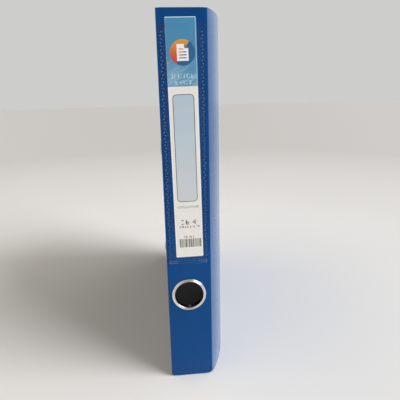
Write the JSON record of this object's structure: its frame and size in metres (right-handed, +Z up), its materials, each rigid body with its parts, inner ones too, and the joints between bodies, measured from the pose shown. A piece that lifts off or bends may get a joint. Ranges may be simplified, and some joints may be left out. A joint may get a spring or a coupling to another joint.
{
  "type": "lever arch file",
  "caption": "Narrow A4 lever arch file standing upright, with a bowed front cover, finger ring, label pocket and a working lever arch mechanism on the rear cover.",
  "frame": {"origin": "centre of the closed file's bounding box at its bottom edges", "axes": "+Z up the spine; +Y from the spine to the fore-edges; +X from the rear cover to the front cover"},
  "size_m": [0.057, 0.2864, 0.32],
  "materials": {
    "foil": "satin polypropylene foil",
    "board": "plain grey board",
    "lining": "dark matt paper",
    "ring_nickel": "bright nickel plate",
    "pocket_film": "clear film",
    "label_card": "printed card, matt",
    "mechanism_steel": "bright nickel-plated steel"
  },
  "bodies": {
    "spine": {"spine_wrap": "foil", "spine_board": "board", "spine_lining": "lining", "front_hinge_crease": "foil", "rear_hinge_crease": "foil", "finger_ring_outer": "ring_nickel", "finger_ring_inner": "ring_nickel", "label_pocket": "pocket_film"},
    "front_cover": {"front_cover_wrap": "foil", "front_cover_board": "board", "front_cover_lining": "lining"},
    "rear_cover": {"rear_cover_wrap": "foil", "rear_cover_board": "board", "rear_cover_lining": "lining", "base_plate": "mechanism_steel", "post_lower": "mechanism_steel", "post_upper": "mechanism_steel", "lever_pin": "mechanism_steel", "rivet_1": "mechanism_steel", "rivet_2": "mechanism_steel", "rivet_3": "mechanism_steel", "rivet_4": "mechanism_steel"},
    "arches": {"arch_wire": "mechanism_steel"},
    "roller": {"crank_roller": "mechanism_steel"},
    "lever_arm": {"lever": "mechanism_steel"},
    "compressor": {"compressor_bar": "mechanism_steel"},
    "label": {"label_insert": "label_card"}
  },
  "joints": [
    {"name": "front_cover_hinge", "type": "hinge", "parent": "spine", "child": "front_cover", "pos_m": [0.01005, -0.14072, 0.16], "axis": [0, 0, -1], "range_deg": [0, 160]},
    {"name": "rear_cover_hinge", "type": "hinge", "parent": "spine", "child": "rear_cover", "pos_m": [-0.02625, -0.14072, 0.16], "axis": [0, 0, 1], "range_deg": [0, 90]},
    {"name": "lever_hinge", "type": "hinge", "parent": "rear_cover", "child": "lever_arm", "pos_m": [-0.0111, -0.08983, 0.16], "axis": [0, 0, 1], "range_deg": [0, 60]},
    {"name": "arch_hinge", "type": "hinge", "parent": "rear_cover", "child": "arches", "pos_m": [-0.0201, -0.11083, 0.16], "axis": [0, 0, -1], "range_deg": [0, 36]},
    {"name": "roller_spin", "type": "hinge", "parent": "arches", "child": "roller", "pos_m": [-0.0181, -0.0995, 0.16], "axis": [0, 0, 1], "continuous": true},
    {"name": "compressor_slide", "type": "slide", "parent": "rear_cover", "child": "compressor", "axis": [1, 0, 0], "range_m": [0, 0.015]},
    {"name": "label_slide", "type": "slide", "parent": "spine", "child": "label", "axis": [-0.011, 0, 0.9999], "range_m": [0, 0.19]}
  ],
  "couplings": [
    {"joint": "arch_hinge", "follows": "lever_hinge", "ratio": 0.6}
  ]
}
